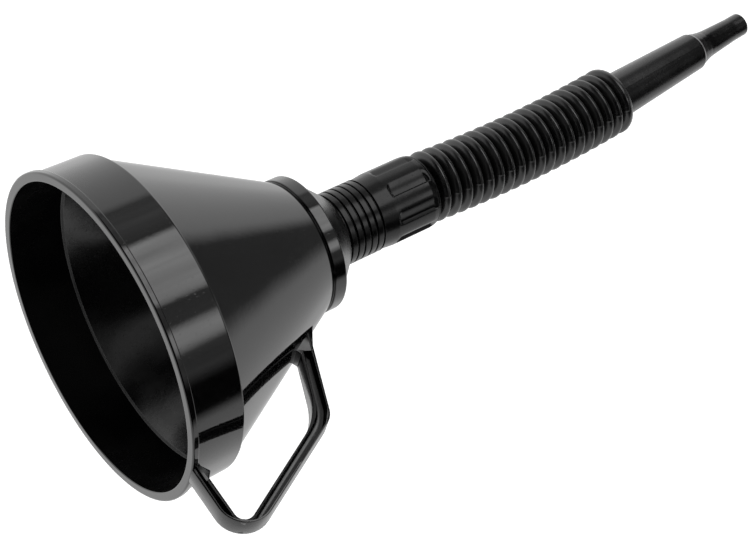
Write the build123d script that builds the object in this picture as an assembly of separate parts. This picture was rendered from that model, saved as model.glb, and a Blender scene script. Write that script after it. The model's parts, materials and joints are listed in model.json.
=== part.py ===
from build123d import *
import os
from math import cos, hypot, radians, sin

# Funnel with a loop handle, a lift-out gauze filter and a bellows spout.
# Millimetres. The mouth's rim lies in the plane Z = 0, the origin is its centre,
# +Z points out of the mouth and the spout hangs down. The handle is on the +X side.

# Bowl
MOUTH_R = 80.0            # outside of the rim lip
RIM_WIDTH = 4.6           # flat ring round the mouth
LIP_DEPTH = 3.2
BAND_TOP_R = 78.7         # the upright band under the lip
BAND_END_R = 78.2
BAND_DEPTH = 27.8
CONE_TOP_R = 76.3
CONE_END_R = 33.1
CONE_DEPTH = 108.6
SHOULDER_R = 34.1         # the short band at the foot of the cone
SHOULDER_DEPTH = 115.4
NECK_DEPTH = 129.2        # where the bowl's taper ends and the spout begins
NECK_R = 19.5
WALL = 2.4
SPIGOT_R = 14.6           # the outlet tube that the spout sits on
SPIGOT_BORE_R = 12.6
SPIGOT_DEPTH = 149.6

# Handle, a loop in the XZ plane
HANDLE_WIDTH = 11.2
HANDLE_OUTER_FLANGE = 1.8
HANDLE_INNER_FLANGE = 2.0
HANDLE_INNER_WIDTH = 10.4
HANDLE_WEB = 2.2
HANDLE_CORNERS = [(76.0, -0.1), (123.0, -0.1), (87.0, -69.4), (38.2, -88.9)]
HANDLE_RADII = [13.6, 9.7]
HANDLE_THICKNESS = [4.8, 5.6, 6.7]
HANDLE_INNER_RADII = [4.8, 32.2]
HANDLE_ROOT = [(76.0, -2.0), (76.0, -3.6), (78.4, -4.0), (83.6, -7.3), (87.0, -4.4), (88.0, -2.0)]
HANDLE_FOOT = [(44.0, -73.0), (54.0, -75.4), (52.6, -78.0), (54.6, -81.9), (45.4, -87.8), (36.0, -93.0)]
LOOP_CORE = 20.0          # how far from the bowl's axis the blocks that cut the loop begin

# Filter, resting on the inside of the cone
FILTER_TOP = -95.0
FILTER_HEIGHT = 5.0
FILTER_CLEARANCE = 0.3
FILTER_RIM = 3.2
FILTER_LUG = (1.6, 8.0, 6.0)      # the two finger lugs: thickness, width, height
FILTER_LUG_RISE = 2.8             # from the ring's top to the middle of a lug
GAUZE_THICKNESS = 0.5
GAUZE_INSET = 0.9
RETAINER_HEIGHT = 1.4
RETAINER_INSET = 0.1

# Spout
RUNNING_CLEARANCE = 0.06
AIR_GAP = 0.3             # between pieces that turn past each other
CUFF_R = 18.5
CUFF_LENGTH = 20.6
GROOVES = 6
GROOVE_PITCH = 3.86
GROOVE_WIDTH = 0.9
GROOVE_DEPTH = 1.1
FIRST_GROOVE = 0.6        # below the cuff's top
GRIP_R = 18.8
GRIP_END = -185.0
FLUTES = 8
FLUTE_RADIUS = 5.0
FLUTE_DEPTH = 1.4
FLUTE_TURN = 34.0         # degrees from +X to the first flute
FLUTE_SPAN = (-158.0, -180.0)

# Bellows
FOLDS = 19
PITCH = 6.58
CREST_R = 18.0
VALLEY_R = 13.7
BELLOWS_WALL = 1.1
RING_HALF = 2.55          # half the length of one convolution
CREST_HALF = 0.3          # half the flat on a crest
FIRST_FOLD_Z = -186.7
BEND_AZIMUTH = 155.0      # the spout's set, and its bending, are in this upright plane
DROOP = -3.4              # degrees at the first fold
CURL = 0.44               # degrees back at each later fold

# Nozzle, distances along its own axis from the last crest
END_WALL = 3.4            # to the middle of the end wall
END_WALL_HALF = 0.9
PLUG_R = 10.9
PLUG_START = -1.2
PLUG_BEAD = 0.7
NOZZLE_BASE_R = 12.2
NOZZLE_STEP_R = 10.1
NOZZLE_STEP = 65.0
NOZZLE_TIP_START_R = 8.0
NOZZLE_TIP_R = 6.25
NOZZLE_TIP_STRAIGHT = 8.0
NOZZLE_LENGTH = 102.6
NOZZLE_WALL = 1.6


def ring_of(points):
    """Turn an outline of (radius, height) points about Z."""
    outline = Polyline(*[(r, 0, z) for r, z in points], close=True)
    return revolve(make_face(outline), Axis.Z, 360)


def cone_wall(z, inset=0.0):
    """Radius of the cone's outside at height z, less an inset along its normal."""
    slope = (CONE_TOP_R - CONE_END_R) / (CONE_DEPTH - BAND_DEPTH)
    return CONE_TOP_R + slope * (z + BAND_DEPTH) - inset * hypot(1, slope)


def bowl_outside():
    """Outline of the bowl's outside, from the lip down to the neck."""
    return [
        (MOUTH_R - 0.6, 0),
        (MOUTH_R, -0.6),
        (MOUTH_R, -LIP_DEPTH + 0.5),
        (BAND_TOP_R, -LIP_DEPTH),
        (BAND_END_R, -BAND_DEPTH + 1.2),
        (BAND_END_R - 0.9, -BAND_DEPTH),
        (cone_wall(-BAND_DEPTH - 0.3), -BAND_DEPTH - 0.3),
        (cone_wall(-CONE_DEPTH), -CONE_DEPTH),
        (SHOULDER_R - 0.2, -CONE_DEPTH - 0.1),
        (SHOULDER_R, -CONE_DEPTH - 0.5),
        (SHOULDER_R, -SHOULDER_DEPTH + 0.8),
        (SHOULDER_R - 0.8, -SHOULDER_DEPTH),
        (SHOULDER_R - 2.8, -SHOULDER_DEPTH - 0.4),
        (SHOULDER_R - 3.1, -SHOULDER_DEPTH - 1.2),
        (NECK_R, -NECK_DEPTH + 0.6),
        (NECK_R - 0.5, -NECK_DEPTH),
    ]


def make_bowl():
    mouth_inner = MOUTH_R - RIM_WIDTH
    inside = [
        (SPIGOT_R, -NECK_DEPTH),
        (SPIGOT_R, -SPIGOT_DEPTH + 0.8),
        (SPIGOT_R - 0.8, -SPIGOT_DEPTH),
        (SPIGOT_BORE_R, -SPIGOT_DEPTH),
        (SPIGOT_BORE_R, -SHOULDER_DEPTH - 4.0),
        (cone_wall(-CONE_DEPTH, WALL), -CONE_DEPTH - 0.5),
        (cone_wall(-BAND_DEPTH, WALL), -BAND_DEPTH),
        (mouth_inner - 0.4, -BAND_DEPTH + 1.8),
        (mouth_inner, -0.5),
        (mouth_inner + 0.5, 0),
    ]
    return ring_of(bowl_outside() + inside)


def inset_corners(corners, distances):
    """Move each side of an open outline inwards by its own distance."""
    sides = []
    for (x0, z0), (x1, z1), distance in zip(corners, corners[1:], distances):
        length = hypot(x1 - x0, z1 - z0)
        along = ((x1 - x0) / length, (z1 - z0) / length)
        sides.append(((x0 + along[1] * distance, z0 - along[0] * distance), along))
    moved = [sides[0][0]]
    for (p, d), (q, e) in zip(sides, sides[1:]):
        cross = d[0] * e[1] - d[1] * e[0]
        t = ((q[0] - p[0]) * e[1] - (q[1] - p[1]) * e[0]) / cross
        moved.append((p[0] + t * d[0], p[1] + t * d[1]))
    (x, z), along = sides[-1]
    last = hypot(corners[-1][0] - corners[-2][0], corners[-1][1] - corners[-2][1])
    moved.append((x + along[0] * last, z + along[1] * last))
    return moved


def loop_region(corners, radii, width):
    """A block as wide as width, filling the loop from its outline to the bowl's axis."""
    path = FilletPolyline(*[(x, 0, z) for x, z in corners], radius=[*radii])
    start, end = corners[0], corners[-1]
    core = [(end[0], end[1]), (LOOP_CORE, end[1]), (LOOP_CORE, start[1]), (start[0], start[1])]
    closing = Polyline(*[(x, 0, z) for x, z in core])
    face = make_face([*path.edges(), *closing.edges()])
    return extrude(face, width / 2, dir=(0, 1, 0), both=True)


def block_of(points):
    """A block as wide as the handle, from its outline in the XZ plane."""
    outline = Polyline(*[(x, 0, z) for x, z in points], close=True)
    return extrude(make_face(outline), HANDLE_WIDTH / 2, dir=(0, 1, 0), both=True)


def make_handle(bowl_block):
    """An I-shaped strap: an outer flange, a thin web and a slightly narrower inner flange."""
    web_corners = inset_corners(HANDLE_CORNERS, [HANDLE_OUTER_FLANGE] * 3)
    flange_corners = inset_corners(HANDLE_CORNERS, [t - HANDLE_INNER_FLANGE for t in HANDLE_THICKNESS])
    inner_corners = inset_corners(HANDLE_CORNERS, HANDLE_THICKNESS)
    web_radii = [r - HANDLE_OUTER_FLANGE for r in HANDLE_RADII]
    flange_radii = [r + HANDLE_INNER_FLANGE for r in HANDLE_INNER_RADII]

    def strap(outer, outer_radii, inner, inner_radii, width):
        block = loop_region(outer, outer_radii, width)
        return block - loop_region(inner, inner_radii, width + 2)

    strip = strap(HANDLE_CORNERS, HANDLE_RADII, web_corners, web_radii, HANDLE_WIDTH)
    web = strap(web_corners, web_radii, flange_corners, flange_radii, HANDLE_WEB)
    grip = strap(flange_corners, flange_radii, inner_corners, HANDLE_INNER_RADII, HANDLE_INNER_WIDTH)
    handle = strip + web + grip + block_of(HANDLE_ROOT) + block_of(HANDLE_FOOT)
    return handle - bowl_block


def make_filter_ring():
    bottom = FILTER_TOP - FILTER_HEIGHT
    top_r = cone_wall(FILTER_TOP, WALL) - FILTER_CLEARANCE
    bottom_r = cone_wall(bottom, WALL) - FILTER_CLEARANCE
    ring = ring_of([
        (top_r, FILTER_TOP),
        (bottom_r, bottom),
        (bottom_r - FILTER_RIM, bottom),
        (bottom_r - FILTER_RIM, FILTER_TOP - 1),
        (bottom_r - FILTER_RIM + 1, FILTER_TOP),
    ])
    lug = Pos(bottom_r - FILTER_RIM + 1.2, 0, FILTER_TOP + FILTER_LUG_RISE) * Box(*FILTER_LUG)
    return ring + lug + Rot(0, 0, 180) * lug


def make_filter_gauze():
    """The brass gauze, a disc pressed against the ring's underside."""
    radius = cone_wall(FILTER_TOP - FILTER_HEIGHT, WALL) - FILTER_CLEARANCE - GAUZE_INSET
    centre = FILTER_TOP - FILTER_HEIGHT - GAUZE_THICKNESS / 2
    return Pos(0, 0, centre) * Cylinder(radius, GAUZE_THICKNESS)


def make_filter_retainer():
    """The flat ring that holds the gauze up from below."""
    top = FILTER_TOP - FILTER_HEIGHT - GAUZE_THICKNESS
    outer = cone_wall(top - RETAINER_HEIGHT, WALL) - FILTER_CLEARANCE - RETAINER_INSET
    flat_ring = Cylinder(outer, RETAINER_HEIGHT) - Cylinder(outer - FILTER_RIM, RETAINER_HEIGHT)
    return Pos(0, 0, top - RETAINER_HEIGHT / 2) * flat_ring


def make_ribbed_cuff():
    top = -NECK_DEPTH - AIR_GAP
    bore = SPIGOT_R + RUNNING_CLEARANCE
    cuff = Pos(0, 0, top - CUFF_LENGTH / 2) * (Cylinder(CUFF_R, CUFF_LENGTH) - Cylinder(bore, CUFF_LENGTH))
    for number in range(GROOVES):
        height = top - FIRST_GROOVE - number * GROOVE_PITCH
        groove = Cylinder(CUFF_R + 1, GROOVE_WIDTH) - Cylinder(CUFF_R - GROOVE_DEPTH, GROOVE_WIDTH)
        cuff -= Pos(0, 0, height) * groove
    return cuff


def make_grip_collar():
    top = -NECK_DEPTH - AIR_GAP - CUFF_LENGTH
    neck = SPIGOT_R + RUNNING_CLEARANCE
    collar = ring_of([
        (neck, top),
        (CUFF_R - 0.5, top),
        (GRIP_R - 0.3, top - 5),
        (GRIP_R, top - 8),
        (GRIP_R, GRIP_END + 5),
        (GRIP_R - 0.3, GRIP_END + 2.6),
        (GRIP_R - 0.8, GRIP_END + 2.2),
        (GRIP_R - 0.5, GRIP_END + 1.6),
        (GRIP_R - 1.4, GRIP_END + 0.5),
        (VALLEY_R + 0.6, GRIP_END),
        (VALLEY_R - BELLOWS_WALL, GRIP_END),
        (SPIGOT_BORE_R, top - 4),
        (neck, top - 2),
    ])
    low, high = FLUTE_SPAN[1] + FLUTE_RADIUS, FLUTE_SPAN[0] - FLUTE_RADIUS
    scoop = Pos(0, 0, (low + high) / 2) * Cylinder(FLUTE_RADIUS, high - low)
    scoop += Pos(0, 0, high) * Sphere(FLUTE_RADIUS)
    scoop += Pos(0, 0, low) * Sphere(FLUTE_RADIUS)
    offset = GRIP_R + FLUTE_RADIUS - FLUTE_DEPTH
    for number in range(FLUTES):
        collar -= Rot(0, 0, FLUTE_TURN + number * 360 / FLUTES) * Pos(offset, 0, 0) * scoop
    return collar


def fold_places():
    """Place of each convolution's crest, its own +Z towards the bowl, along the set spout."""
    places = []
    reach, z, angle = 0.0, FIRST_FOLD_Z, DROOP
    for number in range(FOLDS):
        half = (PITCH / 2 * sin(radians(angle)), PITCH / 2 * cos(radians(angle)))
        reach, z = reach + half[0], z - half[1]
        towards = Rot(0, 0, BEND_AZIMUTH)
        places.append(towards * Pos(reach, 0, z) * Rot(0, -angle, 0))
        reach, z = reach + half[0], z - half[1]
        angle += CURL
    return places


def crest_outline():
    """Outside of one convolution, from its upper valley over the crest."""
    return [
        (VALLEY_R, RING_HALF),
        (CREST_R - 1.5, 1.55),
        (CREST_R - 0.4, 0.95),
        (CREST_R, CREST_HALF),
    ]


def make_convolution():
    upper = crest_outline()
    lower = [(r, -z) for r, z in reversed(upper)]
    peak = CREST_R - BELLOWS_WALL - 0.2
    inside = [
        (VALLEY_R - BELLOWS_WALL, -RING_HALF),
        (peak, -0.4),
        (peak, 0.4),
        (VALLEY_R - BELLOWS_WALL, RING_HALF),
    ]
    return ring_of(upper + lower + inside)


def make_end_convolution():
    """The last convolution, closed by a wall with the hole that holds the nozzle."""
    peak = CREST_R - BELLOWS_WALL - 0.2
    return ring_of(crest_outline() + [
        (CREST_R, -0.8),
        (CREST_R - 0.6, -2.2),
        (CREST_R - 1.8, -END_WALL),
        (NOZZLE_BASE_R + 1.5, -END_WALL - END_WALL_HALF),
        (PLUG_R, -END_WALL - END_WALL_HALF),
        (PLUG_R, -END_WALL + END_WALL_HALF),
        (CREST_R - 3.0, -END_WALL + 1.4),
        (peak, -0.8),
        (peak, 0.4),
        (VALLEY_R - BELLOWS_WALL, RING_HALF),
    ])


def make_nozzle():
    """The stepped nozzle, pushed through the end wall and held by a bead behind it."""
    seat = -END_WALL - END_WALL_HALF
    step = -NOZZLE_STEP
    tip = -NOZZLE_LENGTH
    straight = tip + NOZZLE_TIP_STRAIGHT
    return ring_of([
        (PLUG_R - NOZZLE_WALL, PLUG_START),
        (PLUG_R, PLUG_START),
        (PLUG_R + PLUG_BEAD, PLUG_START - PLUG_BEAD),
        (PLUG_R, -END_WALL + END_WALL_HALF),
        (PLUG_R, seat),
        (NOZZLE_BASE_R, seat),
        (NOZZLE_STEP_R, step),
        (NOZZLE_STEP_R - 0.4, step - 1.2),
        (NOZZLE_TIP_START_R + 0.5, step - 5.0),
        (NOZZLE_TIP_START_R - 0.4, step - 8.5),
        (NOZZLE_TIP_START_R - 0.8, step - 12.0),
        (NOZZLE_TIP_R, straight),
        (NOZZLE_TIP_R, tip + 0.5),
        (NOZZLE_TIP_R - 0.5, tip),
        (NOZZLE_TIP_R - NOZZLE_WALL, tip),
        (NOZZLE_TIP_R - NOZZLE_WALL, straight),
        (NOZZLE_TIP_START_R - 0.8 - NOZZLE_WALL, step - 9.0),
        (NOZZLE_STEP_R - NOZZLE_WALL, step),
    ])


def build():
    bowl_block = ring_of(bowl_outside() + [(0, -NECK_DEPTH), (0, 0)])
    pieces = {
        "bowl": make_bowl(),
        "handle": make_handle(bowl_block),
        "filter_ring": make_filter_ring(),
        "filter_gauze": make_filter_gauze(),
        "filter_retainer": make_filter_retainer(),
        "ribbed_cuff": make_ribbed_cuff(),
        "grip_collar": make_grip_collar(),
    }
    places = fold_places()
    for number, place in enumerate(places[:-1], start=1):
        pieces[f"bellows_ring_{number:02d}"] = place * make_convolution()
    pieces["bellows_end"] = places[-1] * make_end_convolution()
    pieces["nozzle"] = places[-1] * make_nozzle()
    return pieces


os.makedirs("parts", exist_ok=True)
for name, solid in build().items():
    export_step(solid, f"parts/{name}.step")
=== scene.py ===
"""A black plastic funnel with a loop handle and a bellows spout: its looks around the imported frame."""

import json
import math

import bmesh
import bpy
from mathutils import Matrix, Vector


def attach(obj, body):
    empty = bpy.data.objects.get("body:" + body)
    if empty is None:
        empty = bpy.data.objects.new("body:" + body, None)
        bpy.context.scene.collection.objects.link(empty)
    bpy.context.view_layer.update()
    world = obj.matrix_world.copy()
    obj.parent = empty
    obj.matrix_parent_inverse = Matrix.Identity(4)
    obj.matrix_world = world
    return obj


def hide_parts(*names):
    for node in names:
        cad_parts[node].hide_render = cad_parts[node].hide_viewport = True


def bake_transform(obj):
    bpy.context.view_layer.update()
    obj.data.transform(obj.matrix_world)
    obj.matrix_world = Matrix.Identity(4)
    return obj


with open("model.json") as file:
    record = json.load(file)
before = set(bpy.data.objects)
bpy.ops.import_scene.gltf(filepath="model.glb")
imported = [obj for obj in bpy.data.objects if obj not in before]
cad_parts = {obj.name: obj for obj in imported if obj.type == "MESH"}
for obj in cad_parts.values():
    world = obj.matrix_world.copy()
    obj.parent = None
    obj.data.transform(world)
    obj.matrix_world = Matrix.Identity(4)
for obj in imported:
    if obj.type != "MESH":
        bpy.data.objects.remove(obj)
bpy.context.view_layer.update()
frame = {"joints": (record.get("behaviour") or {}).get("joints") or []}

# ---------------------------------------------------------------- sizes
# Outlines are in millimetres, as (radius, height) or (radius, height, fillet). Meshes are in metres.
MM = 0.001
ARC_STEPS = 5             # faces round a filleted corner
HOLD = 0.22               # a loop this near each end of a flat keeps its shading flat
SHARP = math.radians(38)

MOUTH_R = 80.0
RIM_WIDTH = 4.6
LIP_DEPTH = 3.2
BAND_DEPTH = 27.8
BAND_TOP_R = 78.7
BAND_END_R = 78.2
CONE_TOP_R = 76.3
CONE_END_R = 33.1
CONE_DEPTH = 108.6
SHOULDER_R = 34.1
SHOULDER_DEPTH = 115.4
NECK_DEPTH = 129.2
NECK_R = 19.5
WALL = 2.4
SPIGOT_R = 14.6
SPIGOT_BORE_R = 12.6
SPIGOT_DEPTH = 149.6

HANDLE_CORNERS = [(76.0, -0.1), (123.0, -0.1), (87.0, -69.4), (38.2, -88.9)]
HANDLE_RADII = [13.6, 9.7]
HANDLE_THICKNESS = [4.8, 5.6, 6.7]
HANDLE_INNER_RADII = [4.8, 32.2]
HANDLE_OUTER_FLANGE = 1.8
HANDLE_INNER_FLANGE = 2.0
HANDLE_WEB_HALF = 1.1
HANDLE_INNER_NARROWER = 0.4   # the inner flange is this much less wide on each side
HANDLE_ROOT = [(77.0, -2.6), (77.0, -3.6), (78.4, -4.0), (83.6, -7.2), (86.9, -4.4), (87.5, -2.6)]
HANDLE_FOOT = [(45.0, -74.0), (53.8, -75.6), (52.6, -78.0), (54.4, -81.8), (45.4, -87.7), (37.0, -92.4)]
HANDLE_SINK = 1.2             # how far the handle's ends reach into the bowl's wall
HANDLE_HALF_WIDTH = 5.6

FILTER_TOP = -95.0
FILTER_BOTTOM = -100.0
FILTER_GAP = 0.35
FILTER_RIM = 3.2
RETAINER_HEIGHT = 1.4
LUG_HEIGHT = 6.6
LUG_HALF_WIDTH = 4.0
LUG_HALF_THICK = 0.8
GAUZE_PITCH = 1.15
GAUZE_WIRE_R = 0.16

CUFF_R = 18.5
CUFF_TOP = -129.5
CUFF_END = -150.1
GROOVES = 6
GROOVE_PITCH = 3.86
GROOVE_WIDTH = 0.9
GROOVE_DEPTH = 1.1
FIRST_GROOVE = 0.6        # below the cuff's top
GRIP_R = 18.8
GRIP_END = -185.0
FLUTES = 8
FLUTE_TURN = 34.0         # degrees from +X to the first flute
FLUTE_TOP = -158.5
FLUTE_END = -181.0
FLUTE_HALF = 3.3
FLUTE_DEPTH = 1.5
FLUTE_SEGMENTS = 40       # mesh segments for each flute's share of the round

FOLDS = 19
PITCH = 6.58
CREST_R = 17.98
VALLEY_R = 13.7
BELLOWS_WALL = 1.1
FOLD_SEAM = 33.0          # degrees from +X to the bellows' moulding seam
NOZZLE_SEAM = 71.5
SEAM_HALF = 0.35
FOLD_SEAM_RISE = 0.16
END_SEAM_RISE = 0.12
NOZZLE_SEAM_RISE = 0.09


# ---------------------------------------------------------------- mesh helpers
def finish_mesh(name, mesh, material, nodes):
    """Make an object of a mesh, smooth except at sharp edges, standing for CAD nodes."""
    mesh.validate()
    mesh.shade_smooth()
    mesh.set_sharp_from_angle(angle=SHARP)
    mesh.materials.append(material)
    piece = bpy.data.objects.new(name, mesh)
    bpy.context.scene.collection.objects.link(piece)
    if nodes:
        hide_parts(*nodes)
    return piece


def mesh_of(name, points, faces):
    mesh = bpy.data.meshes.new(name)
    mesh.from_pydata([Vector(p) * MM for p in points], [], faces)
    shaped = bmesh.new()
    shaped.from_mesh(mesh)
    bmesh.ops.recalc_face_normals(shaped, faces=shaped.faces)
    shaped.to_mesh(mesh)
    shaped.free()
    return mesh


def soften(corners, steps=ARC_STEPS):
    """Round the corners of a closed outline and put holding points at the ends of its flats."""
    count = len(corners)
    places = [Vector(c[:2]) for c in corners]
    rounded = []
    for index, corner in enumerate(corners):
        here = places[index]
        back = places[index - 1] - here
        ahead = places[(index + 1) % count] - here
        radius = corner[2] if len(corner) > 2 else 0.0
        turn = math.pi - back.angle(ahead)
        reach = radius * math.tan(turn / 2)
        reach = min(reach, 0.48 * back.length, 0.48 * ahead.length)
        if reach < 1e-4:
            rounded.append([here])
            continue
        start, end = here + back.normalized() * reach, here + ahead.normalized() * reach
        arc = []
        for step in range(steps + 1):
            t = step / steps
            a, b = start.lerp(here, t), here.lerp(end, t)
            arc.append(a.lerp(b, t))
        rounded.append(arc)
    outline = []
    for index, arc in enumerate(rounded):
        outline += arc
        flat = rounded[(index + 1) % count][0] - arc[-1]
        if flat.length > 4 * HOLD:
            outline.append(arc[-1] + flat.normalized() * HOLD)
            outline.append(arc[-1] + flat - flat.normalized() * HOLD)
    return outline


def round_angles(segments, seams=(), radius=1.0, half_width=0.0):
    """Angles round a turned piece, in radians, with extra ones across each moulding seam."""
    angles = [2 * math.pi * n / segments for n in range(segments)]
    for seam in seams:
        middle = math.radians(seam) % (2 * math.pi)
        near = half_width / radius
        angles = [a for a in angles if abs((a - middle + math.pi) % (2 * math.pi) - math.pi) > 1.6 * near]
        angles += [(middle + near * k) % (2 * math.pi) for k in (-1.0, -0.5, 0.0, 0.5, 1.0)]
    return sorted(angles)


def turned(name, outline, angles, place=Matrix.Identity(4), shape=None):
    """Turn a closed (radius, height) outline; shape may change the radius at an angle and height."""
    rows = len(outline)
    points, faces = [], []
    for angle in angles:
        c, s = math.cos(angle), math.sin(angle)
        for r, z in outline:
            radius = shape(r, z, angle) if shape else r
            points.append(place @ Vector((radius * c, radius * s, z)))
    count = len(angles)
    for a in range(count):
        b = (a + 1) % count
        for row in range(rows):
            after = (row + 1) % rows
            faces.append((a * rows + row, b * rows + row, b * rows + after, a * rows + after))
    return mesh_of(name, points, faces)


def smooth_step(x, low, high):
    t = min(max((x - low) / (high - low), 0.0), 1.0)
    return t * t * (3 - 2 * t)


def seam_rise(angle, radius, seams, height, half_width):
    """How far a moulding seam stands out at an angle."""
    rise = 0.0
    for seam in seams:
        off = abs((angle - math.radians(seam) + math.pi) % (2 * math.pi) - math.pi) * radius
        rise = max(rise, height * (1 - smooth_step(off, 0.0, half_width)))
    return rise


def cone_wall(z, inset=0.0):
    slope = (CONE_TOP_R - CONE_END_R) / (CONE_DEPTH - BAND_DEPTH)
    return CONE_TOP_R + slope * (z + BAND_DEPTH) - inset * math.hypot(1, slope)


# ---------------------------------------------------------------- materials
class Nodes:
    """Short calls for building a node tree."""

    def __init__(self, tree):
        self.tree = tree
        tree.nodes.clear()

    def add(self, kind, settings=(), **inputs):
        node = self.tree.nodes.new(kind)
        for key, value in dict(settings).items():
            setattr(node, key, value)
        for key, value in inputs.items():
            socket = node.inputs[int(key[1:])] if key[1:].isdigit() else node.inputs[key.replace("_", " ")]
            if isinstance(value, bpy.types.NodeSocket):
                self.tree.links.new(value, socket)
            else:
                socket.default_value = value
        return node

    def math(self, operation, a, b=0.0, c=0.0):
        return self.add("ShaderNodeMath", {"operation": operation}, i0=a, i1=b, i2=c).outputs[0]

    def noise(self, place, scale, detail=3.0, rough=0.5):
        node = self.add("ShaderNodeTexNoise", Vector=place, Scale=scale, Detail=detail, Roughness=rough)
        return node.outputs["Fac"]

    def spread(self, value, low, high, out_low, out_high):
        node = self.add("ShaderNodeMapRange", {"clamp": True}, Value=value)
        limits = {"From Min": low, "From Max": high, "To Min": out_low, "To Max": out_high}
        for key, number in limits.items():
            node.inputs[key].default_value = number
        return node.outputs[0]

    def stretched(self, place, x, y, z):
        node = self.add("ShaderNodeMapping", Vector=place)
        node.inputs["Scale"].default_value = (x, y, z)
        return node.outputs[0]

    def bump(self, height, strength, distance, under=None):
        node = self.add("ShaderNodeBump", Height=height, Strength=strength, Distance=distance)
        if under is not None:
            self.tree.links.new(under, node.inputs["Normal"])
        return node.outputs[0]

    def mixed(self, factor, a, b):
        node = self.add("ShaderNodeMix", {"data_type": "RGBA"})
        self.tree.links.new(factor, node.inputs["Factor"])
        node.inputs[6].default_value = a
        node.inputs[7].default_value = b
        return node.outputs[2]


def plastic(name, dark, light, smooth, rough, grain, waves, scuffs, lines=(1.0, 1.0, 1.0), sheen=0.5):
    """Moulded black plastic: mottled colour, uneven gloss, fine grain, slow waves, hairline scuffs."""
    material = bpy.data.materials.new(name)
    material.use_nodes = True
    n = Nodes(material.node_tree)
    place = n.add("ShaderNodeTexCoord").outputs["Object"]
    mottle = n.noise(place, 38.0, 4.0, 0.6)
    colour = n.mixed(n.spread(mottle, 0.3, 0.7, 0.0, 1.0), (*dark, 1.0), (*light, 1.0))
    patches = n.noise(place, 55.0, 5.0, 0.65)
    specks = n.noise(place, 900.0, 2.0, 0.5)
    gloss = n.spread(patches, 0.32, 0.72, smooth, rough)
    gloss = n.math("ADD", gloss, n.spread(specks, 0.62, 0.8, 0.0, rough - smooth))
    flow = n.noise(n.stretched(place, *lines), 420.0, 2.0, 0.5)
    swell = n.noise(place, 26.0, 1.0, 0.4)
    scratch_place = n.stretched(place, 1.0, 0.06, 0.35)
    scratch = n.spread(n.noise(scratch_place, 1500.0, 1.0, 0.5), 0.7, 0.76, 0.0, 1.0)
    normal = n.bump(swell, waves, 0.004)
    normal = n.bump(flow, grain, 0.0004, normal)
    normal = n.bump(scratch, scuffs, 0.00012, normal)
    shader = n.add("ShaderNodeBsdfPrincipled", Base_Color=colour, Roughness=gloss, Normal=normal)
    shader.inputs["IOR"].default_value = 1.5
    shader.inputs["Specular IOR Level"].default_value = sheen
    n.add("ShaderNodeOutputMaterial", Surface=shader.outputs[0])
    return material


def brass_wire():
    material = bpy.data.materials.new("brass_wire")
    material.use_nodes = True
    n = Nodes(material.node_tree)
    place = n.add("ShaderNodeTexCoord").outputs["Object"]
    tarnish = n.noise(place, 160.0, 4.0, 0.6)
    dulling = n.spread(tarnish, 0.35, 0.7, 0.0, 1.0)
    colour = n.mixed(dulling, (0.62, 0.43, 0.17, 1.0), (0.36, 0.24, 0.1, 1.0))
    gloss = n.spread(tarnish, 0.3, 0.75, 0.24, 0.46)
    normal = n.bump(n.noise(place, 2600.0, 2.0), 0.15, 0.0001)
    shader = n.add("ShaderNodeBsdfPrincipled", Base_Color=colour, Roughness=gloss, Normal=normal)
    shader.inputs["Metallic"].default_value = 1.0
    n.add("ShaderNodeOutputMaterial", Surface=shader.outputs[0])
    return material


BLACK = (0.0016, 0.0016, 0.0017)
BLACK_LIGHT = (0.0034, 0.0034, 0.0035)
SATIN = (0.0040, 0.0040, 0.0042)
SATIN_LIGHT = (0.0075, 0.0075, 0.0078)

bowl_plastic = plastic("bowl_plastic", BLACK, BLACK_LIGHT, 0.03, 0.08, 0.02, 0.04, 0.1)
inside_plastic = plastic("bowl_inside_plastic", BLACK, SATIN, 0.2, 0.34, 0.08, 0.5, 0.12)
handle_plastic = plastic("handle_plastic", BLACK, SATIN, 0.12, 0.26, 0.12, 0.04, 0.2, (0.1, 1.0, 0.1))
cuff_plastic = plastic("cuff_plastic", BLACK, SATIN, 0.16, 0.3, 0.05, 0.04, 0.15, sheen=0.24)
fold_plastic = plastic("fold_plastic", SATIN, SATIN_LIGHT, 0.24, 0.38, 0.1, 0.05, 0.15)
nozzle_plastic = plastic("nozzle_plastic", BLACK_LIGHT, SATIN_LIGHT, 0.17, 0.3, 0.06, 0.04, 0.15, sheen=0.4)
filter_plastic = plastic("filter_plastic", SATIN, SATIN_LIGHT, 0.25, 0.4, 0.12, 0.03, 0.15)
brass = brass_wire()


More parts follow.
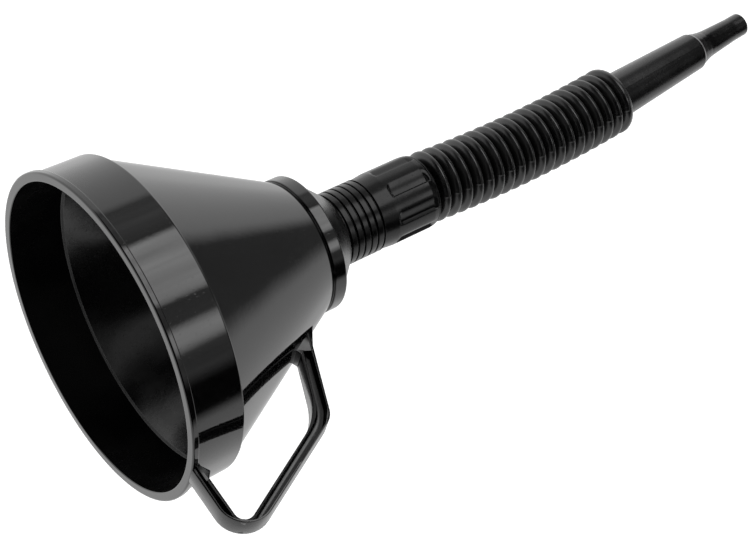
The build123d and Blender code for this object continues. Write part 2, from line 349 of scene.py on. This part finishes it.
# ---------------------------------------------------------------- bowl
def bowl_outline():
    mouth_inner = MOUTH_R - RIM_WIDTH
    return soften([
        (mouth_inner, 0.0, 0.5),
        (MOUTH_R, 0.0, 0.9),
        (MOUTH_R, -LIP_DEPTH, 0.6),
        (BAND_TOP_R, -LIP_DEPTH, 0.45),
        (BAND_END_R, -BAND_DEPTH, 1.1),
        (cone_wall(-BAND_DEPTH), -BAND_DEPTH - 0.05, 0.5),
        (cone_wall(-CONE_DEPTH), -CONE_DEPTH, 0.3),
        (SHOULDER_R, -CONE_DEPTH - 0.2, 0.45),
        (SHOULDER_R, -SHOULDER_DEPTH, 0.9),
        (SHOULDER_R - 2.8, -SHOULDER_DEPTH - 0.3, 0.5),
        (SHOULDER_R - 3.2, -SHOULDER_DEPTH - 1.3, 0.5),
        (NECK_R, -NECK_DEPTH + 0.5, 0.5),
        (NECK_R - 0.6, -NECK_DEPTH, 0.2),
        (SPIGOT_R, -NECK_DEPTH, 0.2),
        (SPIGOT_R, -SPIGOT_DEPTH, 0.6),
        (SPIGOT_BORE_R, -SPIGOT_DEPTH, 0.3),
        (SPIGOT_BORE_R, -SHOULDER_DEPTH - 4.0, 3.0),
        (cone_wall(-CONE_DEPTH, WALL), -CONE_DEPTH - 0.5, 3.0),
        (cone_wall(-BAND_DEPTH, WALL), -BAND_DEPTH - 0.1, 0.3),
        (mouth_inner - 0.4, -BAND_DEPTH + 0.7, 0.3),
    ])


def make_bowl():
    mesh = turned("bowl_shell", bowl_outline(), round_angles(300))
    bowl = finish_mesh("bowl_shell", mesh, bowl_plastic, ["bowl"])
    mesh.materials.append(inside_plastic)
    for face in mesh.polygons:
        spot = face.center / MM
        reach = math.hypot(spot.x, spot.y)
        middle_of_wall = cone_wall(max(spot.z, -CONE_DEPTH), WALL / 2)
        skin = MOUTH_R - RIM_WIDTH if spot.z > -BAND_DEPTH else middle_of_wall
        face.material_index = int(spot.z < -1.0 and reach < skin and spot.z > -NECK_DEPTH + 5)
    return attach(bowl, "bowl")


# ---------------------------------------------------------------- handle
def offset_corners(corners, distances):
    """Move each side of an open outline inwards by its own distance."""
    sides = []
    for start, end, distance in zip(corners, corners[1:], distances):
        along = (Vector(end) - Vector(start)).normalized()
        sides.append((Vector(start) + Vector((along.y, -along.x)) * distance, along))
    moved = [sides[0][0]]
    for (p, d), (q, e) in zip(sides, sides[1:]):
        cross = d.x * e.y - d.y * e.x
        t = ((q.x - p.x) * e.y - (q.y - p.y) * e.x) / cross
        moved.append(p + d * t)
    start, along = sides[-1]
    moved.append(start + along * (Vector(corners[-1]) - Vector(corners[-2])).length)
    return moved


def filleted(corners, radii, straight_steps, arc_steps):
    """Points along an open outline with filleted corners, the same number whatever the radii are."""
    corners = [Vector(c) for c in corners]
    ends, arcs = [corners[0]], []
    for before, here, after, radius in zip(corners, corners[1:], corners[2:], radii):
        a, b = (before - here).normalized(), (after - here).normalized()
        half = a.angle(b) / 2
        reach = radius / math.tan(half)
        centre = here + (a + b).normalized() * (radius / math.sin(half))
        start, end = here + a * reach, here + b * reach
        sweep = (start - centre).angle_signed(end - centre)
        arc = []
        for step in range(1, arc_steps):
            turn = Matrix.Rotation(-sweep * step / arc_steps, 2)
            arc.append(centre + turn @ (start - centre))
        ends += [start, end]
        arcs.append(arc)
    ends.append(corners[-1])
    points = []
    for index in range(0, len(ends), 2):
        first, last = ends[index], ends[index + 1]
        steps = straight_steps[index // 2]
        points += [first.lerp(last, step / steps) for step in range(steps + 1)]
        if index // 2 < len(arcs):
            points += arcs[index // 2]
    return points


def strap_section(depth):
    """Half of the I-shaped section, as (across, down from the outer face), top to bottom."""
    flange, inner, web = HANDLE_OUTER_FLANGE, HANDLE_INNER_FLANGE, HANDLE_WEB_HALF
    edge = 0.55
    half, foot = HANDLE_HALF_WIDTH, HANDLE_HALF_WIDTH - HANDLE_INNER_NARROWER
    under, above = depth - inner, depth - flange - inner
    return [
        (0.0, 0.0), (half - edge, 0.0), (half - 0.16, 0.16), (half, edge), (half, flange - 0.3),
        (half - 0.25, flange - 0.02), (web + 0.7, flange + 0.06 * above),
        (web + 0.15, flange + 0.15 * above), (web, flange + 0.3 * above), (web, under - 0.3 * above),
        (web + 0.15, under - 0.15 * above), (web + 0.7, under - 0.06 * above),
        (foot - 0.25, under + 0.02), (foot, under + 0.3),
        (foot, depth - 0.45), (foot - 0.14, depth - 0.14), (foot - 0.45, depth), (0.0, depth),
    ]


def buried_skin(z):
    """Radius a little way inside the bowl's outer face, where the handle's ends stop."""
    return BAND_END_R - HANDLE_SINK if z > -BAND_DEPTH else cone_wall(z, HANDLE_SINK)


def to_wall(point, along, across):
    """Slide a handle point along its run until it sits just inside the bowl's wall."""
    def gap(travel):
        x, z = point.x + along.x * travel, point.y + along.y * travel
        return math.hypot(x, across) - buried_skin(z)
    low, high = -30.0, 30.0
    for _ in range(40):
        middle = (low + high) / 2
        if gap(middle) > 0:
            low = middle
        else:
            high = middle
    return point + along * low


def make_handle():
    steps, bends = [14, 20, 14], 14
    outer = filleted(HANDLE_CORNERS, HANDLE_RADII, steps, bends)
    inner_corners = offset_corners(HANDLE_CORNERS, HANDLE_THICKNESS)
    inner = filleted(inner_corners, HANDLE_INNER_RADII, steps, bends)
    last = len(outer) - 1
    points, ring = [], 0
    for index, (top, under) in enumerate(zip(outer, inner)):
        through = under - top
        depth = through.length
        through = through.normalized()
        half = strap_section(depth)
        section = half + [(-y, d) for y, d in reversed(half[1:-1])]
        ring = len(section)
        for across, down in section:
            place = top + through * down
            if index in (0, last):
                ahead = outer[1] - outer[0] if index == 0 else outer[last] - outer[last - 1]
                place = to_wall(place, (-ahead if index == 0 else ahead).normalized(), across)
            points.append((place.x, across, place.y))
    faces = []
    for index in range(last):
        for k in range(ring):
            after = (k + 1) % ring
            a, b = index * ring, (index + 1) * ring
            faces.append((a + k, b + k, b + after, a + after))
    faces += [tuple(range(ring)), tuple(range(last * ring, (last + 1) * ring))]
    mesh = mesh_of("handle_loop", points, faces)
    handle = finish_mesh("handle_loop", mesh, handle_plastic, ["handle"])
    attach(handle, "bowl")
    for name, outline in (("handle_root", HANDLE_ROOT), ("handle_foot", HANDLE_FOOT)):
        block = prism(name, outline, HANDLE_HALF_WIDTH - 0.1)
        piece = finish_mesh(name, block, handle_plastic, [])
        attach(piece, "bowl")
    return handle


def prism(name, outline, half_width):
    """A block with rounded edges from an outline in the XZ plane, its inner end inside the wall."""
    edge = 0.5
    corners = soften([(x, z, 0.5) for x, z in outline], 3)
    middle = sum(corners, Vector((0.0, 0.0))) / len(corners)
    rows = []
    for across, inset in ((-half_width, edge), (-half_width + 0.15, 0.15), (-half_width + edge, 0.0)):
        rows.append((across, inset))
    rows += [(-across, inset) for across, inset in reversed(rows)]
    points, faces, count = [], [], len(corners)
    for across, inset in rows:
        for corner in corners:
            towards = (middle - corner).normalized()
            spot = corner + towards * inset
            x = max(spot.x, math.sqrt(buried_skin(spot.y) ** 2 - across ** 2))
            points.append((x, across, spot.y))
    for row in range(len(rows) - 1):
        for k in range(count):
            after = (k + 1) % count
            a, b = row * count, (row + 1) * count
            faces.append((a + k, a + after, b + after, b + k))
    faces += [tuple(range(count)), tuple(range((len(rows) - 1) * count, len(rows) * count))]
    return mesh_of(name, points, faces)


# ---------------------------------------------------------------- filter
def make_filter():
    low_r = cone_wall(FILTER_BOTTOM, WALL) - FILTER_GAP
    high_r = cone_wall(FILTER_TOP, WALL) - FILTER_GAP
    inner_r = low_r - FILTER_RIM
    outline = soften([
        (high_r, FILTER_TOP, 0.5), (low_r, FILTER_BOTTOM, 0.3),
        (inner_r, FILTER_BOTTOM, 0.3), (inner_r, FILTER_TOP, 1.0),
    ])

    ring = turned("filter_ring_moulding", outline, round_angles(144))
    piece = finish_mesh("filter_ring_moulding", ring, filter_plastic, ["filter_ring"])
    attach(piece, "filter")
    middle = inner_r + 1.2
    for number, side in enumerate((1, -1), start=1):
        lug = tongue(f"filter_lug_{number}", middle * side, FILTER_TOP - 0.8)
        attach(finish_mesh(lug.name, lug, filter_plastic, []), "filter")
    top = FILTER_BOTTOM - 0.5
    bottom = top - RETAINER_HEIGHT
    outer = cone_wall(bottom, WALL) - 0.4
    inner = outer - FILTER_RIM
    flat = soften([(outer, top, 0.25), (outer, bottom, 0.25), (inner, bottom, 0.25), (inner, top, 0.25)])
    retainer = turned("gauze_retainer", flat, round_angles(144))
    piece = finish_mesh("gauze_retainer", retainer, filter_plastic, ["filter_retainer"])
    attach(piece, "filter")
    weave = woven_disc(low_r - 0.95, FILTER_BOTTOM - 0.25)
    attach(finish_mesh("woven_gauze", weave, brass, ["filter_gauze"]), "filter")


def tongue(name, x, z):
    """An upright finger lug with a round top."""
    height, half_width, half_thick = LUG_HEIGHT, LUG_HALF_WIDTH, LUG_HALF_THICK
    outline = [(-half_width, 0.0), (half_width, 0.0), (half_width, height, 2.5), (-half_width, height, 2.5)]
    corners = soften(outline, 6)
    points, faces, count = [], [], len(corners)
    rows = [(-half_thick, 0.3), (-half_thick + 0.3, 0.0), (half_thick - 0.3, 0.0), (half_thick, 0.3)]
    for through, inset in rows:
        for corner in corners:
            share = 1 - inset / half_width
            points.append((x + through, corner.x * share, z + corner.y * share))
    for row in range(len(rows) - 1):
        for k in range(count):
            after = (k + 1) % count
            a, b = row * count, (row + 1) * count
            faces.append((a + k, a + after, b + after, b + k))
    faces += [tuple(range(count)), tuple(range((len(rows) - 1) * count, len(rows) * count))]
    return mesh_of(name, points, faces)


def woven_disc(radius, height):
    """Plain-woven wire cut to a disc: each wire goes over one and under the next."""
    count = int(radius / GAUZE_PITCH)
    sides = 5
    points, faces = [], []
    for family in (0, 1):
        for number in range(-count, count + 1):
            line = number * GAUZE_PITCH
            reach = math.sqrt(max(radius ** 2 - line ** 2, 0.0))
            if reach < GAUZE_PITCH:
                continue
            stations = max(4, int(2 * reach / (GAUZE_PITCH / 2)))
            first = len(points)
            for station in range(stations + 1):
                run = -reach + 2 * reach * station / stations
                phase = math.pi * (run / GAUZE_PITCH + number + family)
                lift = 1.1 * GAUZE_WIRE_R * math.cos(phase) * (1 if family else -1)
                for side in range(sides):
                    a = 2 * math.pi * side / sides
                    across, up = GAUZE_WIRE_R * math.cos(a), GAUZE_WIRE_R * 0.75 * math.sin(a)
                    spot = (run, line + across) if family == 0 else (line + across, run)
                    points.append((*spot, height + min(max(lift + up, -0.25), 0.25)))
            for station in range(stations):
                for side in range(sides):
                    a, b = first + station * sides, first + (station + 1) * sides
                    after = (side + 1) % sides
                    faces.append((a + side, b + side, b + after, a + after))
            end = first + stations * sides
            faces += [tuple(first + k for k in range(sides)), tuple(end + k for k in range(sides))]
    return mesh_of("woven_gauze", points, faces)


# ---------------------------------------------------------------- spout base
def make_cuff():
    bore = SPIGOT_R + 0.1
    outline = [(bore, CUFF_END, 0.1), (bore, CUFF_TOP, 0.2)]
    floor_r = CUFF_R - GROOVE_DEPTH
    height = CUFF_TOP
    for number in range(GROOVES):
        top = CUFF_TOP - FIRST_GROOVE - number * GROOVE_PITCH + GROOVE_WIDTH / 2
        if number:
            outline += [(CUFF_R, height, 0.3), (CUFF_R, top, 0.3)]
        outline += [(floor_r, min(top, CUFF_TOP), 0.25), (floor_r, top - GROOVE_WIDTH, 0.25)]
        height = top - GROOVE_WIDTH
    outline += [(CUFF_R, height, 0.3), (CUFF_R, CUFF_END, 0.1)]
    mesh = turned("ribbed_cuff_moulding", soften(outline, 4), round_angles(180))
    cuff = finish_mesh("ribbed_cuff_moulding", mesh, cuff_plastic, ["ribbed_cuff"])
    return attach(cuff, "spout")


def flute_depth(angle, z):
    """Depth of the grip's flutes: a steep wall on one side, a long ramp on the other."""
    step = 2 * math.pi / FLUTES
    off = (angle - math.radians(FLUTE_TURN) + step / 2) % step - step / 2
    across = off * GRIP_R
    wall = smooth_step(across, -1.06 * FLUTE_HALF, -0.8 * FLUTE_HALF)
    ramp = 1 - smooth_step(across, -0.5 * FLUTE_HALF, 1.5 * FLUTE_HALF)
    bulge = 1 - math.sqrt(max(1 - (across / (1.5 * FLUTE_HALF)) ** 2, 0.0))
    top = FLUTE_TOP - FLUTE_HALF * bulge
    ends = smooth_step(z, FLUTE_END, FLUTE_END + 0.9) * (1 - smooth_step(z, top - 1.4, top))
    return FLUTE_DEPTH * wall * ramp * ends


def make_grip():
    neck = SPIGOT_R + 0.1
    corners = [
        (neck, CUFF_END, 0.1), (CUFF_R - 0.5, CUFF_END, 0.2), (GRIP_R - 0.3, CUFF_END - 5, 4.0),
        (GRIP_R, CUFF_END - 8, 4.0), (GRIP_R, GRIP_END + 5, 3.0), (GRIP_R - 0.3, GRIP_END + 2.5, 0.4),
        (GRIP_R - 0.9, GRIP_END + 2.1, 0.25), (GRIP_R - 0.5, GRIP_END + 1.6, 0.3),
        (GRIP_R - 1.4, GRIP_END + 0.4, 0.6), (VALLEY_R + 0.6, GRIP_END, 0.2),
        (VALLEY_R - BELLOWS_WALL, GRIP_END, 0.2), (SPIGOT_BORE_R, CUFF_END - 4, 0.5),
        (neck, CUFF_END - 2, 0.2),
    ]
    outline = []
    rounded = soften(corners, 4)
    for here, after in zip(rounded, rounded[1:] + rounded[:1]):
        outline.append(here)
        run = (after - here).length
        if run > 2 and here.x > GRIP_R - 1:
            parts = int(run / 0.45)
            outline += [here.lerp(after, part / parts) for part in range(1, parts)]

    def fluted(r, z, angle):
        return r - (flute_depth(angle, z) if r > GRIP_R - 1 else 0.0)

    mesh = turned("grip_collar_moulding", outline, round_angles(FLUTES * FLUTE_SEGMENTS), shape=fluted)
    grip = finish_mesh("grip_collar_moulding", mesh, cuff_plastic, ["grip_collar"])
    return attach(grip, "spout")


# ---------------------------------------------------------------- bellows
def bend_joints():
    """The hinges at the bellows' valleys, from the bowl to the tip."""
    return [j for j in frame["joints"] if j["type"] == "hinge" and not j.get("continuous")]


def crest_frames(valleys):
    """The crests' frames. The last one lies half a pitch past the last valley, along the set curve."""
    frames = []
    for index, valley in enumerate(valleys):
        if index + 1 < len(valleys):
            along = (valley - valleys[index + 1]).normalized()
            centre = (valley + valleys[index + 1]) / 2
        else:
            before = (valleys[index - 1] - valley).normalized()
            earlier = (valleys[index - 2] - valleys[index - 1]).normalized()
            along = earlier.rotation_difference(before) @ before
            centre = valley - along * PITCH / 2
        frames.append(axis_frame(centre, along))
    return frames


def axis_frame(centre, along):
    """A frame at centre whose Z is along, turned as little as can be from upright."""
    turn = Vector((0, 0, 1)).rotation_difference(along)
    return Matrix.Translation(centre) @ turn.to_matrix().to_4x4()


def fold_profile(share, radius_low, radius_high):
    """Radius part of the way from a valley (0) to a crest (1): round crests, tight valleys."""
    arch = 1 - (1 - share) ** 2.25
    return radius_low + (radius_high - radius_low) * arch


def make_fold(number, upper, lower, is_first):
    """The skin from one crest to the next, through the valley between them."""
    steps = 12
    seams = (FOLD_SEAM, FOLD_SEAM + 180)
    angles = round_angles(84, seams, CREST_R, SEAM_HALF)
    outside, inside = [], []
    for step in range(2 * steps + 1):
        t = step / steps - 1
        outside.append((t, fold_profile(abs(t), VALLEY_R, CREST_R)))
        inside.append((t, fold_profile(abs(t), VALLEY_R - BELLOWS_WALL, CREST_R - BELLOWS_WALL)))
    stations = outside + inside[::-1]
    if is_first:
        stations = [s for s in stations if s[0] >= -0.18]
    points, rows = [], len(stations)
    for angle in angles:
        for t, radius in stations:
            place = frame_between(upper, lower, (t + 1) / 2)
            rise = seam_rise(angle, radius, seams, FOLD_SEAM_RISE, SEAM_HALF) * (radius > VALLEY_R + 1.6)
            crest = min(radius + rise, CREST_R + 0.02) if radius > VALLEY_R else radius
            points.append(place @ Vector((crest * math.cos(angle), crest * math.sin(angle), 0.0)))
    faces, count = [], len(angles)
    for a in range(count):
        b = (a + 1) % count
        for row in range(rows):
            after = (row + 1) % rows
            faces.append((a * rows + row, b * rows + row, b * rows + after, a * rows + after))
    name = f"bellows_fold_{number:02d}"
    mesh = mesh_of(name, points, faces)
    nodes = [f"bellows_ring_{number:02d}"] if number < FOLDS else []
    fold = finish_mesh(name, mesh, fold_plastic, nodes)
    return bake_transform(fold)


def frame_between(a, b, share):
    """A frame part of the way from a to b, turning evenly."""
    spot = a.translation.lerp(b.translation, share)
    turn = a.to_quaternion().slerp(b.to_quaternion(), share)
    return Matrix.Translation(spot) @ turn.to_matrix().to_4x4()


def make_bellows():
    joints = bend_joints()
    valleys = [Vector(joint["pos_m"]) / MM for joint in joints]
    crests = crest_frames(valleys)
    first = crests[0].translation
    above = axis_frame(valleys[0] * 2 - first, (valleys[0] - first).normalized())
    for number, (joint, upper, lower) in enumerate(zip(joints, [above] + crests, crests), start=1):
        make_fold(number, upper, lower, number == 1)
    return crests[-1]


def make_bellows_end(crest):
    """The closed end beyond the last crest, with the collar round the nozzle's hole."""
    outline = soften([
        (CREST_R, 0.0), (CREST_R, -0.7, 0.6), (CREST_R - 0.5, -2.1, 1.2), (CREST_R - 1.8, -3.4, 0.9),
        (13.4, -4.3, 0.4), (10.95, -4.3, 0.2), (10.95, -2.5, 0.2), (CREST_R - 3, -2.0, 0.6),
        (CREST_R - 1.3, -0.8, 0.4), (CREST_R - BELLOWS_WALL, 0.0),
    ], 4)
    seams = (FOLD_SEAM, FOLD_SEAM + 180)

    def seamed(r, z, angle):
        on_wall = CREST_R - 0.6 > r > 13.6 and z < -2.2
        return r + seam_rise(angle, r, seams, END_SEAM_RISE, SEAM_HALF) * on_wall

    mesh = turned("bellows_end_wall", outline, round_angles(96, seams, CREST_R, SEAM_HALF), crest, seamed)
    end = finish_mesh("bellows_end_wall", mesh, fold_plastic, ["bellows_end"])
    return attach(end, "tip")


def make_nozzle(crest):
    seams = (NOZZLE_SEAM, NOZZLE_SEAM + 180)
    outline = soften([
        (9.3, -1.2, 0.2), (10.8, -1.2, 0.2), (11.5, -1.9, 0.3), (10.85, -2.5, 0.2), (10.85, -4.35, 0.2),
        (12.2, -4.35, 0.4), (10.1, -65.0, 0.7), (9.4, -66.4, 0.7), (8.4, -70.0, 0.8), (7.6, -73.5, 5.0),
        (7.2, -77.0, 20.0), (6.25, -94.6, 30.0), (6.25, -102.6, 0.6), (4.65, -102.6, 0.4),
        (4.65, -94.6, 5.0), (5.6, -74.0, 2.0), (8.5, -65.0, 2.0),
    ], 4)

    def seamed(r, z, angle):
        on_outside = r > 5.7 and z < -4.6
        return r + seam_rise(angle, r, seams, NOZZLE_SEAM_RISE, 0.3) * on_outside

    mesh = turned("stepped_nozzle", outline, round_angles(120, seams, 9.0, 0.3), crest, seamed)
    nozzle = finish_mesh("stepped_nozzle", mesh, nozzle_plastic, ["nozzle"])
    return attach(nozzle, "tip")


# ---------------------------------------------------------------- stage
CAMERA_PLACE = Vector((0.3839, 0.7566, 0.3085))
CAMERA_FORWARD = Vector((-0.3732, -0.8004, -0.4692))
CAMERA_RIGHT = Vector((0.5706, 0.2008, -0.7963))
LENS = 96.0
FLOOR_HEIGHT = -0.475
FLOOR_HALF = 12.0
TENT = 1.45               # strength of the white tent, and how much more there is on its brighter side
TENT_SIDE = 0.35
BOUNCE = 0.28             # faint light off the table, straight below
OVERHEAD = 0.8
# Each soft box: azimuth, elevation, half width and half height in degrees, edge softness, strength.
SOFT_BOXES = [
    (126, -22, 16, 18, 0.12, 0.8),
    (42, -24, 27, 17, 0.14, 0.6),
    (87, -20, 20, 16, 0.06, 4.6),
    (40, -26, 7, 9, 0.08, 4.4),
    (80, 36, 15, 8, 0.16, 0.9),
]


def make_camera():
    camera = bpy.data.cameras.new("camera")
    camera.lens = LENS
    camera.sensor_width = 36.0
    camera.clip_start, camera.clip_end = 0.05, 50.0
    holder = bpy.data.objects.new("camera", camera)
    back = -CAMERA_FORWARD.normalized()
    right = (CAMERA_RIGHT - back * CAMERA_RIGHT.dot(back)).normalized()
    up = back.cross(right)
    turn = Matrix((right, up, back)).transposed()
    holder.matrix_world = Matrix.Translation(CAMERA_PLACE) @ turn.to_4x4()
    bpy.context.scene.collection.objects.link(holder)
    bpy.context.scene.camera = holder


def make_floor():
    half = FLOOR_HALF
    corners = [(-half, -half), (half, -half), (half, half), (-half, half)]
    mesh = bpy.data.meshes.new("floor")
    mesh.from_pydata([(x, y, FLOOR_HEIGHT) for x, y in corners], [], [(0, 1, 2, 3)])
    material = bpy.data.materials.new("pale_floor")
    material.use_nodes = True
    n = Nodes(material.node_tree)
    place = n.add("ShaderNodeTexCoord").outputs["Object"]
    paper = n.mixed(n.noise(place, 3.0), (0.86, 0.86, 0.86, 1.0), (0.9, 0.9, 0.9, 1.0))
    shader = n.add("ShaderNodeBsdfPrincipled", Base_Color=paper)
    shader.inputs["Roughness"].default_value = 0.9
    shader.inputs["Specular IOR Level"].default_value = 0.0
    shader.inputs["Emission Color"].default_value = (1.0, 1.0, 1.0, 1.0)
    shader.inputs["Emission Strength"].default_value = 0.5
    n.add("ShaderNodeOutputMaterial", Surface=shader.outputs[0])
    mesh.materials.append(material)
    floor = bpy.data.objects.new("floor", mesh)
    bpy.context.scene.collection.objects.link(floor)
    floor.visible_glossy = False


def direction(azimuth, elevation):
    a, e = math.radians(azimuth), math.radians(elevation)
    return Vector((math.cos(e) * math.cos(a), math.cos(e) * math.sin(a), math.sin(e)))


def make_studio():
    """A white tent round the object, dark on the camera's side but for soft boxes with uneven light."""
    world = bpy.data.worlds.new("studio")
    world.use_nodes = True
    bpy.context.scene.world = world
    n = Nodes(world.node_tree)
    towards = n.add("ShaderNodeTexCoord").outputs["Generated"]

    def along(vector):
        node = n.add("ShaderNodeVectorMath", {"operation": "DOT_PRODUCT"}, i0=towards, i1=vector)
        return node.outputs["Value"]

    def ramp(value, low, high):
        smooth = {"interpolation_type": "SMOOTHSTEP", "clamp": True}
        node = n.add("ShaderNodeMapRange", smooth, Value=value)
        node.inputs["From Min"].default_value = low
        node.inputs["From Max"].default_value = high
        return node.outputs[0]

    def panel(azimuth, elevation, half_width, half_height, edge):
        """1 inside a rectangular soft box seen in that direction, 0 outside."""
        middle = direction(azimuth, elevation)
        right = middle.cross(Vector((0, 0, 1))).normalized()
        up = right.cross(middle)
        depth = n.math("MAXIMUM", along(middle), 0.01)
        sides = []
        for axis, half in ((right, half_width), (up, half_height)):
            off = n.math("ABSOLUTE", n.math("DIVIDE", along(axis), depth))
            reach = math.tan(math.radians(half))
            sides.append(ramp(off, reach + edge, reach - edge))
        front = ramp(along(middle), 0.0, 0.05)
        return n.math("MULTIPLY", front, n.math("MULTIPLY", sides[0], sides[1]))

    tent = n.math("MULTIPLY_ADD", ramp(along(direction(190, -30)), -0.2, 0.9), TENT_SIDE, TENT)
    behind = n.math("MULTIPLY_ADD", ramp(along(direction(-115, -28)), 0.78, 0.98), -0.4, 1.0)
    tent = n.math("MULTIPLY", tent, behind)
    dark_left = ramp(along(direction(45, 0)), -0.15, 0.04)
    dark_right = ramp(along(direction(68.8, 0)), -0.03, 0.15)
    dark = n.math("MULTIPLY", dark_left, dark_right)
    light = n.math("MULTIPLY", tent, n.math("SUBTRACT", 1.0, dark))
    overhead = n.math("MULTIPLY", ramp(along(Vector((0, 0, 1))), 0.86, 0.96), OVERHEAD)
    light = n.math("ADD", light, overhead)
    bounce = n.math("MULTIPLY", ramp(along(Vector((0, 0, -1))), 0.86, 0.97), BOUNCE)
    light = n.math("MAXIMUM", light, bounce)
    uneven = n.spread(n.noise(towards, 7.0, 3.0, 0.6), 0.35, 0.65, 0.78, 1.12)
    for azimuth, elevation, width, height, edge, strength in SOFT_BOXES:
        glow = n.math("MULTIPLY", panel(azimuth, elevation, width, height, edge), strength)
        light = n.math("MAXIMUM", light, n.math("MULTIPLY", glow, uneven))
    studio = n.add("ShaderNodeBackground", Strength=light)
    plain = n.add("ShaderNodeBackground", Color=(1.0, 1.0, 1.0, 1.0), Strength=1.0)
    seen = n.add("ShaderNodeLightPath").outputs["Is Camera Ray"]
    both = n.add("ShaderNodeMixShader", i0=seen, i1=studio.outputs[0], i2=plain.outputs[0])
    n.add("ShaderNodeOutputWorld", Surface=both.outputs[0])


def make_object():
    make_bowl()
    make_handle()
    make_filter()
    make_cuff()
    make_grip()
    last_crest = make_bellows()
    make_bellows_end(last_crest)
    make_nozzle(last_crest)


make_camera()
make_floor()
make_studio()
bpy.context.scene.view_settings.view_transform = "Standard"
make_object()
